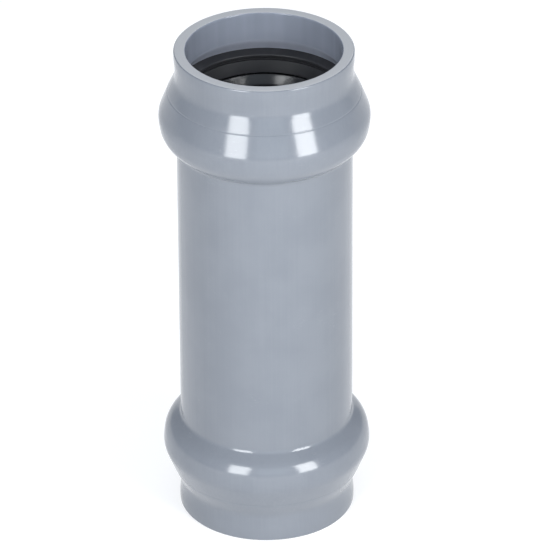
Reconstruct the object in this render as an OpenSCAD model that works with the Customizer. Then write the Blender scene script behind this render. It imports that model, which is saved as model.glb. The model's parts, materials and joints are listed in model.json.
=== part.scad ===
// Push-fit coupling for plastic pressure pipe: one tube with a ring-seal socket at each end.
// It stands on its lower mouth. The origin is the centre of that mouth's end face, and +Z is the axis.

/* [Pipe] */
// Outside diameter of the pipes that it joins
pipe_d = 63; // [50:1:90]
// Room between a pipe and the bore, on each side
pipe_room = 0.5; // [0.3:0.1:1]
// Overall length, mouth to mouth
length = 213; // [150:1:320]
// Wall of the straight middle
middle_wall = 4; // [3:0.1:6]

/* [Mouth] */
// Length of the straight mouth, up to the foot of the ring groove
mouth_length = 12.8; // [10:0.1:25]
// Wall of the mouth
mouth_wall = 4.35; // [3:0.05:6]
// How far the rim swells outwards beyond the mouth's own wall
rim_swell = 0.4; // [0.1:0.05:1]
// Length of the rim that is swollen
rim_swell_length = 3.4; // [2:0.1:4]
// Length over which the swell runs out into the neck
rim_taper_length = 4.1; // [2:0.1:5]
// Rounding of the rim's two edges
rim_edge = 0.6; // [0.2:0.1:1.2]

/* [Ring groove] */
// Length of the front cone of the groove
front_length = 5.2; // [4:0.1:8]
// Rise of the front cone above the bore
front_rise = 4; // [3:0.1:5]
// Length of the long cone behind it
cone_length = 9; // [7:0.1:14]
// Rise of the long cone
cone_rise = 3.6; // [2.5:0.1:5]
// Length of the groove's flat bottom
crest_length = 8.9; // [7:0.1:14]
// Length of the rear shoulder
shoulder_length = 4.6; // [3.5:0.1:8]
// Radial wall at the crease between the two cones
crease_wall = 3.5; // [2.5:0.1:5]
// Radial wall under the crest's highest corner
crest_wall = 3.9; // [3:0.1:5]
// How far behind the groove's heel the outside of the shoulder meets the middle
shoulder_wall = 2.6; // [2:0.1:5]
// How far the back of the crest falls towards the shoulder
crest_fall = 1.2; // [0.5:0.1:3]

/* [Stiffener ring] */
// Gap between the rings and the groove
ring_gap = 0.3; // [0.1:0.05:0.5]
// Thickness of the front flange
flange = 2.2; // [1.5:0.1:3]
// How far the flange's inner edge stands clear of the pipe
flange_clear = 0.3; // [0.1:0.1:1]
// How far the flange's front face is dished
dish = 1.2; // [0.5:0.1:1.5]
// Thickness of the tongue that the rubber is snapped onto
tongue = 1.4; // [1:0.1:1.8]
// Length of the tongue
tongue_length = 3.2; // [2:0.1:4]
// How far the tongue lies outside the bore
tongue_rise = 1.9; // [1.5:0.1:2.2]
// Play between the tongue and the rubber
tongue_play = 0.05; // [0.02:0.01:0.1]

/* [Sealing ring] */
// Width of the small groove between the flange and the wiper lip
recess_width = 1.2; // [0.8:0.1:2]
// Depth of that groove
recess_depth = 1; // [0.5:0.1:1.2]
// How far the wiper lip reaches inside the pipe's surface
wiper_bite = 1.9; // [1:0.1:3]
// Length of the wiper lip
wiper_length = 4.8; // [3:0.1:5.8]
// Width of the notch between the two lips
notch_width = 0.6; // [0.4:0.1:1]
// Depth of that notch
notch_depth = 2.3; // [1:0.1:2.8]
// How far the pressure lip reaches inside the pipe's surface
lip_bite = 4.8; // [3:0.1:6]
// Length of the pressure lip
lip_length = 6.3; // [5.5:0.1:8]
// How much of its length the pressure lip runs steeply inwards, before it bends
lip_bend = 4; // [3:0.1:4.5]
// Radial thickness of the pressure lip
lip_thickness = 1.6; // [1:0.1:2.2]
// How far the ring's tail stops short of the bore
tail_rise = 1.7; // [1:0.1:2.5]

/* [Hidden] */
arc_steps = 6;
turn_steps = 120;
pvc_grey = [0.62, 0.65, 0.69];
rubber_black = [0.09, 0.09, 0.10];
stiffener_black = [0.16, 0.16, 0.17];

// Every outline below is a list of corners [s, r, rounding]: s is the distance inwards from the
// mouth's end face, r is the radius, and rounding is the radius of the arc that takes the corner off.

// Radii of the pipe, the bore, the straight middle and the neck behind the rim.
pipe_r = pipe_d / 2;
bore_r = pipe_r + pipe_room;
middle_r = bore_r + middle_wall;
neck_r = bore_r + mouth_wall;

// Corners of the groove: foot, crease, front of the crest, back of the crest and heel.
foot_s = mouth_length;
crease_s = foot_s + front_length;
crest_s = crease_s + cone_length;
rear_s = crest_s + crest_length;
heel_s = rear_s + shoulder_length;
crease_r = bore_r + front_rise;
crest_r = crease_r + cone_rise;
cone_slope = cone_rise / cone_length;
shoulder_slope = (crest_r - bore_r) / shoulder_length;
foot_round = 3;
crease_round = 6;
crest_round = 7;
rear_round = 3;
heel_round = 2;

socket_inside = [
    [0, bore_r, rim_edge],
    [foot_s, bore_r, foot_round],
    [crease_s, crease_r, crease_round],
    [crest_s, crest_r, crest_round],
    [rear_s, crest_r, rear_round],
    [heel_s, bore_r, heel_round]
];

// Outside of the socket. It follows the groove a wall's thickness further out.
neck_end = 0.7;
crest_top = 1.6;
back_end = 1.7;

socket_outside = [
    [0, neck_r + rim_swell, rim_edge],
    [rim_swell_length, neck_r + rim_swell, 20],
    [rim_swell_length + rim_taper_length, neck_r, 20],
    [foot_s - neck_end, neck_r, 8],
    [crease_s + neck_end, crease_r + crease_wall, 2],
    [crest_s + crest_top, crest_r + crest_wall, 10],
    [rear_s + back_end, crest_r + crest_wall - crest_fall, 11],
    [heel_s + shoulder_wall, middle_r, 2.5]
];

// Seats of the rings: the groove's three outer corners, moved in by the ring gap.
function inward(a, b) = [b[1] - a[1], a[0] - b[0]] / norm([b[0] - a[0], b[1] - a[1]]);
function seat(i) =
    let (
        before = inward(socket_inside[i - 1], socket_inside[i]),
        after = inward(socket_inside[i], socket_inside[i + 1]),
        corner = [socket_inside[i][0], socket_inside[i][1]]
    )
    corner + ring_gap * (before + after) / (1 + before * after);
crease_seat = seat(2);
crest_seat = seat(3);
rear_seat = seat(4);
function cone_seat_r(s) = crease_seat[1] + (s - crease_seat[0]) * cone_slope;
function shoulder_seat_s(r) = rear_seat[0] + (rear_seat[1] - r) / shoulder_slope;

// Stiffener ring: a dished flange at the mouth side, and a tongue behind it.
front_s = crease_seat[0];
flange_r = pipe_r + flange_clear;
flange_s = front_s + flange;
tongue_in_r = bore_r + tongue_rise;
tongue_out_r = tongue_in_r + tongue;

stiffener_outline = [
    [front_s, crease_seat[1], 0.4],
    [front_s + dish, flange_r, 0.5],
    [flange_s, flange_r, 0.3],
    [flange_s, tongue_in_r, 0],
    [flange_s + tongue_length, tongue_in_r, 0.2],
    [flange_s + tongue_length, tongue_out_r, 0.2],
    [flange_s, tongue_out_r, 0],
    [flange_s, cone_seat_r(flange_s), 0.2]
];

// Sealing ring: heel against the groove, wiper lip in front, pressure lip behind it.
rubber_s = flange_s + tongue_play;
slot_in_r = tongue_in_r - tongue_play;
slot_out_r = tongue_out_r + tongue_play;
slot_s = flange_s + tongue_length + tongue_play;
recess_r = flange_r + recess_depth;
wiper_s = rubber_s + recess_width;
wiper_tip_s = wiper_s + wiper_length;
wiper_r = pipe_r - wiper_bite;
notch_r = wiper_r + notch_depth;
notch_spread = 0.5;
lip_s = wiper_tip_s + notch_width;
lip_tip_s = lip_s + lip_length;
lip_r = pipe_r - lip_bite;
bend_rise = 0.5;
tail_r = bore_r + tail_rise;
tail_s = shoulder_seat_s(tail_r);

// Small steps at the wiper's tip, the pressure lip's root, the tail, and the cup behind the lip.
tip_lean = 0.25;
root_drop = 0.1;
tail_step = 0.9;
tail_drop = 0.4;
cup_s = lip_s + 3.1;
cup_r = bore_r + 2;
cup_lean = 1;
cup_floor = 0.6;

rubber_outline = [
    [rubber_s, cone_seat_r(rubber_s), 0.3],
    [crest_seat[0], crest_seat[1], crest_round - ring_gap],
    [rear_seat[0], rear_seat[1], rear_round - ring_gap],
    [tail_s, tail_r, 0.4],
    [tail_s - tail_step, tail_r - tail_drop, 0.3],
    [cup_s + cup_lean, cup_r, 1],
    [cup_s, wiper_r + cup_floor, 1],
    [lip_tip_s, lip_r + lip_thickness, 0.6],
    [lip_tip_s, lip_r, 0.6],
    [lip_s + lip_bend, lip_r + bend_rise, 4],
    [lip_s, wiper_r - root_drop, 0.3],
    [lip_s + notch_spread, notch_r, 0.4],
    [wiper_tip_s - 2 * notch_spread, notch_r, 0.4],
    [wiper_tip_s + tip_lean, wiper_r + notch_spread, 0.2],
    [wiper_tip_s, wiper_r, 0.3],
    [wiper_s, flange_r, 0.3],
    [wiper_s, recess_r, 0.2],
    [rubber_s, recess_r, 0],
    [rubber_s, slot_in_r, 0],
    [slot_s, slot_in_r, 0.2],
    [slot_s, slot_out_r, 0.2],
    [rubber_s, slot_out_r, 0]
];

// The arc that rounds corner b of a closed outline, between its neighbours a and c.
function flat(p) = [p[0], p[1]];
function corner_arc(a, b, c) =
    let (
        back = flat(a) - flat(b),
        on = flat(c) - flat(b),
        u = back / norm(back),
        v = on / norm(on),
        half = acos(max(-1, min(1, u * v))) / 2,
        reach = min(b[2] / tan(half), norm(back) * 0.49, norm(on) * 0.49),
        radius = reach * tan(half),
        centre = flat(b) + (u + v) / norm(u + v) * radius / sin(half),
        side = u[0] * v[1] - u[1] * v[0] > 0 ? -1 : 1,
        first = flat(b) + u * reach - centre,
        sweep = side * (180 - 2 * half)
    )
    [for (i = [0 : arc_steps]) centre + turned(first, sweep * i / arc_steps)];
function turned(p, angle) =
    [p[0] * cos(angle) - p[1] * sin(angle), p[0] * sin(angle) + p[1] * cos(angle)];
function rounded(outline) =
    let (n = len(outline))
    [for (i = [0 : n - 1])
        let (b = outline[i])
        each b[2] > 0 ? corner_arc(outline[(i + n - 1) % n], b, outline[(i + 1) % n]) : [flat(b)]];

// Outlines turn about the axis: s runs up from the lower mouth, or down from the upper one.
function reversed(list) = [for (i = [len(list) - 1 : -1 : 0]) list[i]];
function from_top(outline) = [for (p = outline) [length - p[0], p[1], p[2]]];
module turn(outline) {
    rotate_extrude($fn = turn_steps)
        polygon([for (p = rounded(outline)) [p[1], p[0]]]);
}
module at_upper_mouth() {
    translate([0, 0, length]) mirror([0, 0, 1]) children();
}

module coupling_body() {
    color(pvc_grey)
        turn(concat(
            socket_outside,
            reversed(from_top(socket_outside)),
            from_top(socket_inside),
            reversed(socket_inside)
        ));
}

module stiffener_ring() {
    color(stiffener_black) turn(stiffener_outline);
}

module sealing_ring() {
    color(rubber_black) turn(rubber_outline);
}

coupling_body();
at_upper_mouth() sealing_ring();  // upper_sealing_ring
at_upper_mouth() stiffener_ring();  // upper_stiffener_ring
sealing_ring();  // lower_sealing_ring
stiffener_ring();  // lower_stiffener_ring
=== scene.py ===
import json
import math

import bmesh
import bpy
from mathutils import Matrix, Vector, noise


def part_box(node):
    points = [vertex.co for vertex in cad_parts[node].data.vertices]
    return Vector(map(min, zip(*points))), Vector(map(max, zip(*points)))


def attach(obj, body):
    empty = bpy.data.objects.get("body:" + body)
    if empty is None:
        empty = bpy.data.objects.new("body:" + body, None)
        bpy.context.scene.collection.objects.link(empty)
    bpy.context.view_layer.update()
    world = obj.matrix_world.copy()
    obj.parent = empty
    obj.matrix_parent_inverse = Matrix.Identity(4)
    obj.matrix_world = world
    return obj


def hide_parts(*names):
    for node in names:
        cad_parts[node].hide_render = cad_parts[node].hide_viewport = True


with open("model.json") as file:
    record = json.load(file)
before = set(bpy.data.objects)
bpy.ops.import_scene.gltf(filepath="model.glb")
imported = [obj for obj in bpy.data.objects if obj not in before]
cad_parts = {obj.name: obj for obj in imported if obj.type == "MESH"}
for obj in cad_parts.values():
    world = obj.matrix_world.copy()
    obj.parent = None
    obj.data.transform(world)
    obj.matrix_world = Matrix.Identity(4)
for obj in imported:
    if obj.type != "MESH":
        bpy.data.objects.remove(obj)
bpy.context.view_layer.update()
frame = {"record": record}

# ---------------------------------------------------------------------------
# The tube: one length of grey PVC-U pressure pipe, sawn square at both ends.
# Each end is softened by heat and drawn over a steel mandrel, which forms the
# straight mouth, the two cones of the ring groove and the crest in one wall.
# ---------------------------------------------------------------------------
mm = 0.001
tube_low, tube_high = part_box("coupling_body")
tube_length = (tube_high.z - tube_low.z) / mm
mouth = next(m for m in frame["record"]["mounts"] if m["name"] == "upper_mouth")
bore_r = mouth["dims"]["r_mm"]

# Each socket is a list of corners (s, r, rounding) in millimetres: s inwards from the mouth's
# end face, r from the axis, and the radius of the arc that takes the corner off.
middle_r = bore_r + 4.0
neck_r = bore_r + 4.35
groove_r = bore_r + 7.6
around = 192  # flat sectors round each piece
socket_outside = [
    (0.0, neck_r + 0.4, 0.7),
    (3.4, neck_r + 0.4, 20.0),
    (7.5, neck_r, 20.0),
    (12.1, neck_r, 8.0),
    (18.32, groove_r - 0.28, 1.0),  # the fine crease between the mandrel's two cones
    (18.70, groove_r - 0.235, 0.6),
    (19.08, groove_r + 0.054, 1.0),
    (28.6, groove_r + 3.9, 10.0),
    (37.6, groove_r + 2.7, 11.0),
    (43.1, middle_r, 2.5),
]
socket_inside = [
    (0.0, bore_r, 0.5),
    (12.8, bore_r, 3.0),
    (18.0, bore_r + 4.0, 6.0),
    (27.0, groove_r, 7.0),
    (35.9, groove_r, 3.0),
    (40.5, bore_r, 2.0),
]


def rounded(corners):
    """The closed outline through these corners, with an arc of short steps at each one."""
    points = []
    for i, (s, r, rounding) in enumerate(corners):
        here = Vector((s, r))
        back = Vector(corners[i - 1][:2]) - here
        on = Vector(corners[(i + 1) % len(corners)][:2]) - here
        half = back.angle(on) / 2
        reach = min(rounding / math.tan(half), 0.49 * back.length, 0.49 * on.length)
        if reach < 0.01:
            points.append(here)
            continue
        radius = reach * math.tan(half)
        centre = here + (back.normalized() + on.normalized()).normalized() * radius / math.sin(half)
        first = here + back.normalized() * reach - centre
        turn = math.pi - 2 * half
        if back.x * on.y - back.y * on.x > 0:
            turn = -turn
        steps = max(3, math.ceil(abs(turn) / math.radians(7)))
        for k in range(steps + 1):
            points.append(centre + Matrix.Rotation(turn * k / steps, 2) @ first)
    return points


def even_steps(points, longest):
    """The same closed outline, with its long straight runs cut into steps no longer than that."""
    out = []
    for a, b in zip(points, points[1:] + points[:1]):
        n = max(1, math.ceil((b - a).length / longest))
        out += [a.lerp(b, k / n) for k in range(n)]
    return out


def turned(name, outline, making=None):
    """A round piece: the closed outline of (height, radius) in millimetres, swept about the axis.
    making(height, radius, angle) gives the small rise and swell that the making leaves."""
    mesh = bpy.data.meshes.new(name)
    verts, faces = [], []
    for h, r in outline:
        for k in range(around):
            angle = 2 * math.pi * k / around
            rise, swell = making(h, r, angle) if making else (0.0, 0.0)
            across = (r + swell) * mm
            verts.append((across * math.cos(angle), across * math.sin(angle), (h + rise) * mm))
    rows = len(outline)
    for j in range(rows):
        for k in range(around):
            a, b = j * around, (j + 1) % rows * around
            beside = (k + 1) % around
            faces.append((a + k, a + beside, b + beside, b + k))
    mesh.from_pydata(verts, [], faces)
    form = bmesh.new()
    form.from_mesh(mesh)
    bmesh.ops.recalc_face_normals(form, faces=form.faces)
    form.to_mesh(mesh)
    form.free()
    mesh.shade_smooth()
    piece = bpy.data.objects.new(name, mesh)
    bpy.context.scene.collection.objects.link(piece)
    return piece


def from_top(corners):
    return [(tube_length - s, r, rounding) for s, r, rounding in corners]


def tube_making(h, r, angle):
    """Pipe comes from the die a little oval, and the mandrel leaves soft waves in the sockets."""
    out = min(1.0, max(0.0, (r - bore_r - 1.5) / 2.0))
    near_end = math.exp(-(min(h, tube_length - h) / 25.0) ** 2)
    oval = 0.05 * math.cos(2 * angle + 0.6 + h / 300)
    soft = noise.noise(Vector((1.6 * math.cos(angle), 1.6 * math.sin(angle), h / 38)))
    wave = noise.noise(Vector((4 * math.cos(angle), 4 * math.sin(angle), h / 11 + 7)))
    return 0.0, out * (oval + 0.09 * soft * (0.5 + near_end) + 0.035 * wave * near_end)


tube_corners = (
    socket_outside + from_top(socket_outside)[::-1] + from_top(socket_inside) + socket_inside[::-1]
)
tube = turned("coupling_tube", even_steps(rounded(tube_corners), 1.6), tube_making)


class Wire:
    """A number or a colour on its way to a shader: sums that are written with it become nodes."""

    def __init__(self, finish, socket):
        self.finish, self.socket = finish, socket

    def sum(self, operation, first, second):
        return self.finish.add("Math", {"operation": operation}, {0: first, 1: second})

    def __add__(self, other):
        return self.sum("ADD", self, other)

    def __sub__(self, other):
        return self.sum("SUBTRACT", self, other)

    def __rsub__(self, other):
        return self.sum("SUBTRACT", other, self)

    def __mul__(self, other):
        return self.sum("MULTIPLY", self, other)

    __radd__, __rmul__ = __add__, __mul__


class Finish:
    """One material. add() makes a node of that type with its settings, then fills its sockets."""

    def __init__(self, name):
        self.material = bpy.data.materials.new(name)
        self.material.use_nodes = True
        self.tree = self.material.node_tree
        self.tree.nodes.clear()
        self.place = self.add("TexCoord", out="Object")

    def add(self, kind, settings=None, sockets=None, out=0):
        node = self.tree.nodes.new("ShaderNode" + kind)
        for key, value in (settings or {}).items():
            setattr(node, key, value)
        for key, value in (sockets or {}).items():
            if isinstance(value, Wire):
                self.tree.links.new(value.socket, node.inputs[key])
            else:
                node.inputs[key].default_value = value
        return Wire(self, node.outputs[out]) if node.outputs else None

    def size_of(self, value):
        return self.add("Math", {"operation": "ABSOLUTE"}, {0: value})

    def part(self, vector, axis):
        return self.add("SeparateXYZ", {}, {0: vector}, out=axis)

    def grain(self, size, detail=2.0, drawn=(1, 1, 1)):
        """Noise of about 0.3 to 0.7, with lumps of this size in millimetres, drawn out by drawn."""
        scale = [1 / (size * mm * each) for each in drawn]
        place = self.add("Mapping", {}, {"Vector": self.place, "Scale": scale})
        return self.add("TexNoise", {}, {"Vector": place, "Scale": 1.0, "Detail": detail})

    def step(self, value, low, high):
        """0 below low and 1 above high, with a smooth change between them."""
        ends = {"Value": value, "From Min": low, "From Max": high}
        return self.add("MapRange", {"interpolation_type": "SMOOTHSTEP"}, ends)

    def depth(self):
        """How far a point lies inwards from the nearer mouth, in millimetres."""
        half = tube_length / 2
        return half - self.size_of(self.part(self.place, 2) * (1 / mm) - half)

    def blend(self, share, first, second):
        """The first colour where share is 0, and the second where it is 1."""
        return self.add("Mix", {"data_type": "RGBA"}, {0: share, 6: first, 7: second}, out=2)

    def relief(self, height, depth):
        """The surface tilted as if height, from 0 to 1, stood up by that many millimetres."""
        return self.add("Bump", {}, {"Height": height, "Strength": 1.0, "Distance": depth * mm})

    def surface(self, **sockets):
        names = {name.replace("_", " "): value for name, value in sockets.items()}
        shader = self.add("BsdfPrincipled", {}, names)
        self.add("OutputMaterial", {}, {"Surface": shader})
        return self.material


def pipe_plastic():
    """Extruded pipe: glossy grey with faint die lines and light scuffs, a bore painted paler with depth
    as painted light and streaked with painted reflections, and ends that the saw and the facing tool
    leave matt."""
    f = Finish("pipe_plastic")
    cloud = f.grain(24, 3)
    die_lines = f.grain(0.9, 3, drawn=(1, 1, 90))
    peel = f.grain(1.1, 2)
    specks = f.grain(0.28, 1)
    normal = f.add("TexCoord", out="Normal")
    flat = f.add("VectorMath", {"operation": "MULTIPLY"}, {0: f.place, 1: (1, 1, 0)})
    radius = f.add("VectorMath", {"operation": "LENGTH"}, {0: flat}, out=1)
    outwards = f.add("VectorMath", {"operation": "DOT_PRODUCT"}, {0: flat, 1: normal}, out=1)
    bore = f.step(outwards, 0.0, -0.008)
    cut = f.step(f.size_of(f.part(normal, 2)), 0.80, 0.97)
    ring = f.add("CombineXYZ", {}, {0: radius * (1 / (0.16 * mm))})
    tool_lines = f.add("TexNoise", {}, {"Vector": ring, "Scale": 1.0, "Detail": 2.0})
    patch = f.step(f.grain(16, 2), 0.56, 0.70)
    scuffs = f.step(f.grain(0.30, 3, drawn=(6, 6, 1)), 0.60, 0.68) * patch
    tone = f.step(0.70 * cloud + 0.20 * die_lines + 0.10 * specks, 0.38, 0.62)
    body = f.blend(tone, (0.138, 0.150, 0.171, 1), (0.150, 0.162, 0.183, 1))
    depth = f.depth()
    # Painted light: the bore is painted paler with depth towards the ring groove, standing in for light
    # that reaches deep inside.
    painted_light_share = 0.16 * f.step(depth, 0.0, 12.5) + 0.84 * f.step(depth, 11.6, 14.2)
    # Painted reflection: faint lengthwise streaks of lighter tone in the bore colour.
    painted_reflection_streaks = f.grain(4.5, 1, drawn=(1, 1, 40))
    mouth_grey, painted_light_grey = (0.165, 0.182, 0.218, 1), (0.52, 0.55, 0.64, 1)
    bore_painted_light = f.blend(0.9 * painted_light_share + 0.2 * (painted_reflection_streaks - 0.3), mouth_grey, painted_light_grey)
    inside = f.blend(bore, body, bore_painted_light)
    marked = f.blend(0.25 * scuffs, inside, (0.25, 0.26, 0.28, 1))
    faced = f.blend(cut * (0.45 + 0.5 * tool_lines), marked, (0.50, 0.50, 0.50, 1))
    rough = 0.11 + 0.06 * die_lines + 0.12 * scuffs + 0.25 * cut
    height = 0.45 * peel + 0.25 * die_lines + 0.20 * specks + 1.5 * cut * tool_lines
    return f.surface(Base_Color=faced, Roughness=rough, Normal=f.relief(height, 0.008))


tube.data.materials.append(pipe_plastic())
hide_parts("coupling_body")
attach(tube, "coupling")

# ---------------------------------------------------------------------------
# The sealing rings: black EPDM rubber, one moulded ring pressed into each
# groove. A short wiper lip faces the mouth, and the longer pressure lip behind
# it points inwards, so that water pushes it against the pipe.
# ---------------------------------------------------------------------------
pipe_r = bore_r - 0.5
flange_r = pipe_r + 0.3
wiper_r = pipe_r - 1.9
lip_r = pipe_r - 4.8
rubber_corners = [
    (20.40, bore_r + 4.75, 0.3),
    (27.06, groove_r - 0.15, 6.8),
    (35.81, groove_r - 0.15, 2.8),
    (39.25, bore_r + 1.9, 0.5),
    (38.2, bore_r + 1.3, 0.3),
    (31.4, bore_r + 2.0, 1.0),
    (30.4, wiper_r + 0.6, 1.0),
    (33.4, lip_r + 1.6, 0.6),
    (33.4, lip_r, 0.6),
    (31.1, lip_r + 0.5, 4.0),
    (27.1, wiper_r - 0.1, 0.35),
    (27.5, wiper_r + 2.3, 0.4),
    (25.5, wiper_r + 2.3, 0.4),
    (26.75, wiper_r + 0.5, 0.2),
    (26.5, wiper_r, 0.35),
    (21.7, flange_r, 0.35),
    (21.7, flange_r + 1.0, 0.2),
    (20.40, flange_r + 1.0, 0.0),
]


def rubber_making(h, r, angle):
    """The free lips of a soft ring are never quite true: they sag and ripple a little."""
    free = min(1.0, max(0.0, (bore_r - r) / 4.0))
    seed = 3.0 if h > tube_length / 2 else 11.0
    place = Vector((1.3 * math.cos(angle), 1.3 * math.sin(angle), seed))
    return 0.25 * free * noise.noise(place), 0.22 * free * noise.noise(place * 2.1)


def seal_rubber():
    """Moulded rubber: black, dull on the wiper, smoother where the pressure lip is polished."""
    f = Finish("seal_rubber")
    bloom = f.step(f.grain(7, 3), 0.48, 0.66)
    skin = f.grain(0.22, 2)
    ripple = f.grain(1.6, 2)
    polished = f.step(f.depth(), 26.6, 27.2)
    colour = f.blend(0.5 * bloom, (0.018, 0.018, 0.020, 1), (0.029, 0.029, 0.032, 1))
    rough = 0.56 + 0.10 * bloom - 0.36 * polished + 0.10 * (skin - 0.5)
    height = 0.6 * skin + 0.4 * ripple
    return f.surface(Base_Color=colour, Roughness=rough, Normal=f.relief(height, 0.012))


rubber = seal_rubber()
for place, corners in (("upper", from_top(rubber_corners)), ("lower", rubber_corners)):
    ring = turned(place + "_rubber_ring", even_steps(rounded(corners), 1.0), rubber_making)
    ring.data.materials.append(rubber)
    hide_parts(place + "_sealing_ring")
    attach(ring, place + "_seal")

# ---------------------------------------------------------------------------
# The stiffener rings: hard black polypropylene, moulded, and snapped onto the
# mouth side of each rubber ring. The dished flange keeps the rubber from
# rolling out when a pipe goes in.
# ---------------------------------------------------------------------------
stiffener_corners = [
    (18.05, bore_r + 3.85, 0.45),
    (19.35, flange_r, 0.55),
    (20.35, flange_r, 0.3),
    (20.35, bore_r + 4.75, 0.2),
]


def stiffener_plastic():
    """Moulded polypropylene: black, a little smoother than the rubber, with a fine grained skin."""
    f = Finish("stiffener_plastic")
    haze = f.step(f.grain(9, 3), 0.45, 0.65)
    skin = f.grain(0.35, 2)
    colour = f.blend(haze, (0.028, 0.028, 0.030, 1), (0.040, 0.040, 0.043, 1))
    rough = 0.40 + 0.12 * haze + 0.08 * (skin - 0.5)
    return f.surface(Base_Color=colour, Roughness=rough, Normal=f.relief(skin, 0.008))


hard_black = stiffener_plastic()
for place, corners in (("upper", from_top(stiffener_corners)), ("lower", stiffener_corners)):
    ring = turned(place + "_flange_ring", even_steps(rounded(corners), 0.8))
    ring.data.materials.append(hard_black)
    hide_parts(place + "_stiffener_ring")
    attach(ring, place + "_seal")

# ---------------------------------------------------------------------------
# The table it stands on, the lights and the camera: white paper, two soft boxes
# that stand low in front, left and right, a dim bluish panel between them, and
# a large soft light overhead. None of these belong to the coupling.
# ---------------------------------------------------------------------------
floor_mesh = bpy.data.meshes.new("floor")
reach = 4.0  # metres from the tube to each edge of the paper
floor_mesh.from_pydata(
    [(-reach, -reach, 0), (reach, -reach, 0), (reach, reach, 0), (-reach, reach, 0)], [], [(0, 1, 2, 3)]
)
floor = bpy.data.objects.new("floor", floor_mesh)
bpy.context.scene.collection.objects.link(floor)
paper = Finish("white_paper")
floor_mesh.materials.append(
    paper.surface(
        Base_Color=(0.45, 0.45, 0.45, 1),
        Roughness=0.9,
        Emission_Color=(1.0, 1.0, 1.0, 1),
        Emission_Strength=0.60,
    )
)

scene = bpy.context.scene
centre = Vector((0, 0, tube_length / 2 * mm))


def soft_light(name, azimuth, elevation, distance, width, height, brightness, colour):
    """A rectangle of light aimed at the tube. Azimuth is from the camera's side, to its right."""
    a, e = math.radians(azimuth), math.radians(elevation)
    back = Vector((math.sin(a) * math.cos(e), -math.cos(a) * math.cos(e), math.sin(e)))
    lamp = bpy.data.lights.new(name, "AREA")
    lamp.shape, lamp.size, lamp.size_y = "RECTANGLE", width, height
    lamp.energy = brightness * math.pi * width * height
    lamp.color = colour
    light = bpy.data.objects.new(name, lamp)
    light.location = centre + back * distance
    light.rotation_euler = back.to_track_quat("Z", "Y").to_euler()
    scene.collection.objects.link(light)


soft_light("soft_box_left", -30.5, 17, 1.2, 0.45, 0.76, 12.5, (0.96, 0.985, 1.0))
soft_light("soft_box_right", 44.5, 17, 1.2, 0.44, 0.76, 14.0, (0.97, 0.99, 1.0))
soft_light("front_panel", 7, 20, 1.5, 0.85, 0.8, 0.9, (0.78, 0.91, 1.0))
soft_light("overhead", 180, 78, 1.6, 1.4, 1.4, 0.85, (1.0, 1.0, 1.0))

world = bpy.data.worlds.new("studio")
world.use_nodes = True
world.node_tree.nodes["Background"].inputs["Color"].default_value = (0.88, 0.96, 1.10, 1)
world.node_tree.nodes["Background"].inputs["Strength"].default_value = 0.54
scene.world = world
scene.view_settings.view_transform = "Standard"

lens = bpy.data.cameras.new("camera")
lens.sensor_width = 36.0
lens.lens = 344.3
lens.clip_end = 50.0
camera = bpy.data.objects.new("camera", lens)
scene.collection.objects.link(camera)
scene.camera = camera
pitch = math.radians(30.08)
roll = math.radians(-0.35)
aim = centre + Vector((0.0039, 0.0, 0.0008))
away = 1.8863  # metres in front of the tube, measured level
camera.location = aim + Vector((0, -away, away * math.tan(pitch)))
facing = Matrix.Rotation(math.pi / 2 - pitch, 3, "X") @ Matrix.Rotation(roll, 3, "Z")
camera.rotation_euler = facing.to_euler()
